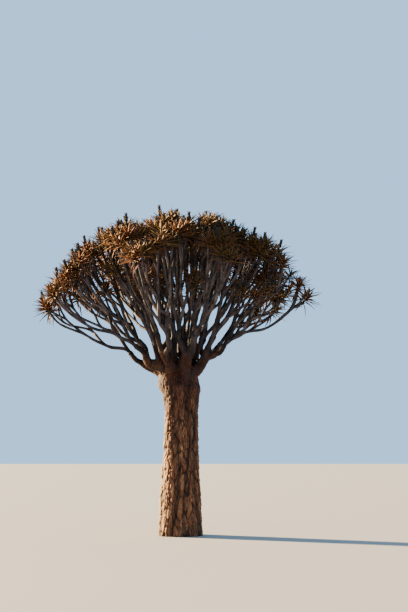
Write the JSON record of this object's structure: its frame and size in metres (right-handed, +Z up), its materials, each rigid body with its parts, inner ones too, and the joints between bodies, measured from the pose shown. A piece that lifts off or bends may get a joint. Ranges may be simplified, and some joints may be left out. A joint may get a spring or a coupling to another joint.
{
  "type": "kokerboom tree",
  "caption": "Kokerboom (quiver tree): stout flared trunk, low fork, boughs that sweep out and up, and masses of forked stems with heads of fleshy leaves in one wide dome.",
  "frame": {"origin": "middle of the flat cut under the trunk, at ground level", "axes": "+Z up along the trunk; +X to the right and +Y away as seen in the picture"},
  "size_m": [5.1292, 4.2584, 5.9988],
  "materials": {
    "trunk_bark": "matt golden-tan bark, cracked into long plates with sharp edges",
    "bough_bark": "smooth grey-mauve bark with a waxy bloom, finely creased",
    "foliage": "fleshy olive leaves turned amber and rust, over grey stems"
  },
  "bodies": {
    "root": {"trunk": "trunk_bark", "bough_01": "bough_bark", "bough_02": "bough_bark", "bough_03": "bough_bark", "bough_04": "bough_bark", "bough_05": "bough_bark", "bough_06": "bough_bark", "bough_07": "bough_bark", "bough_08": "bough_bark", "bough_09": "bough_bark", "bough_10": "bough_bark", "bough_11": "bough_bark", "bough_12": "bough_bark", "bough_13": "bough_bark", "bough_14": "bough_bark", "bough_15": "bough_bark", "bough_16": "bough_bark", "bough_17": "bough_bark", "bough_18": "bough_bark", "bough_19": "bough_bark", "bough_20": "bough_bark", "bough_21": "bough_bark", "bough_22": "bough_bark", "bough_23": "bough_bark", "bough_24": "bough_bark", "bough_25": "bough_bark", "bough_26": "bough_bark", "bough_27": "bough_bark", "bough_28": "bough_bark", "mass_01": "foliage", "mass_02": "foliage", "mass_03": "foliage", "mass_04": "foliage", "mass_05": "foliage", "mass_06": "foliage", "mass_07": "foliage", "mass_08": "foliage", "mass_09": "foliage", "mass_10": "foliage", "mass_11": "foliage", "mass_12": "foliage", "mass_13": "foliage", "mass_14": "foliage", "mass_15": "foliage", "mass_16": "foliage", "mass_17": "foliage", "mass_18": "foliage", "mass_19": "foliage", "mass_20": "foliage", "mass_21": "foliage", "mass_22": "foliage", "mass_23": "foliage", "mass_24": "foliage", "mass_25": "foliage", "mass_26": "foliage", "mass_27": "foliage", "mass_28": "foliage"}
  },
  "joints": []
}
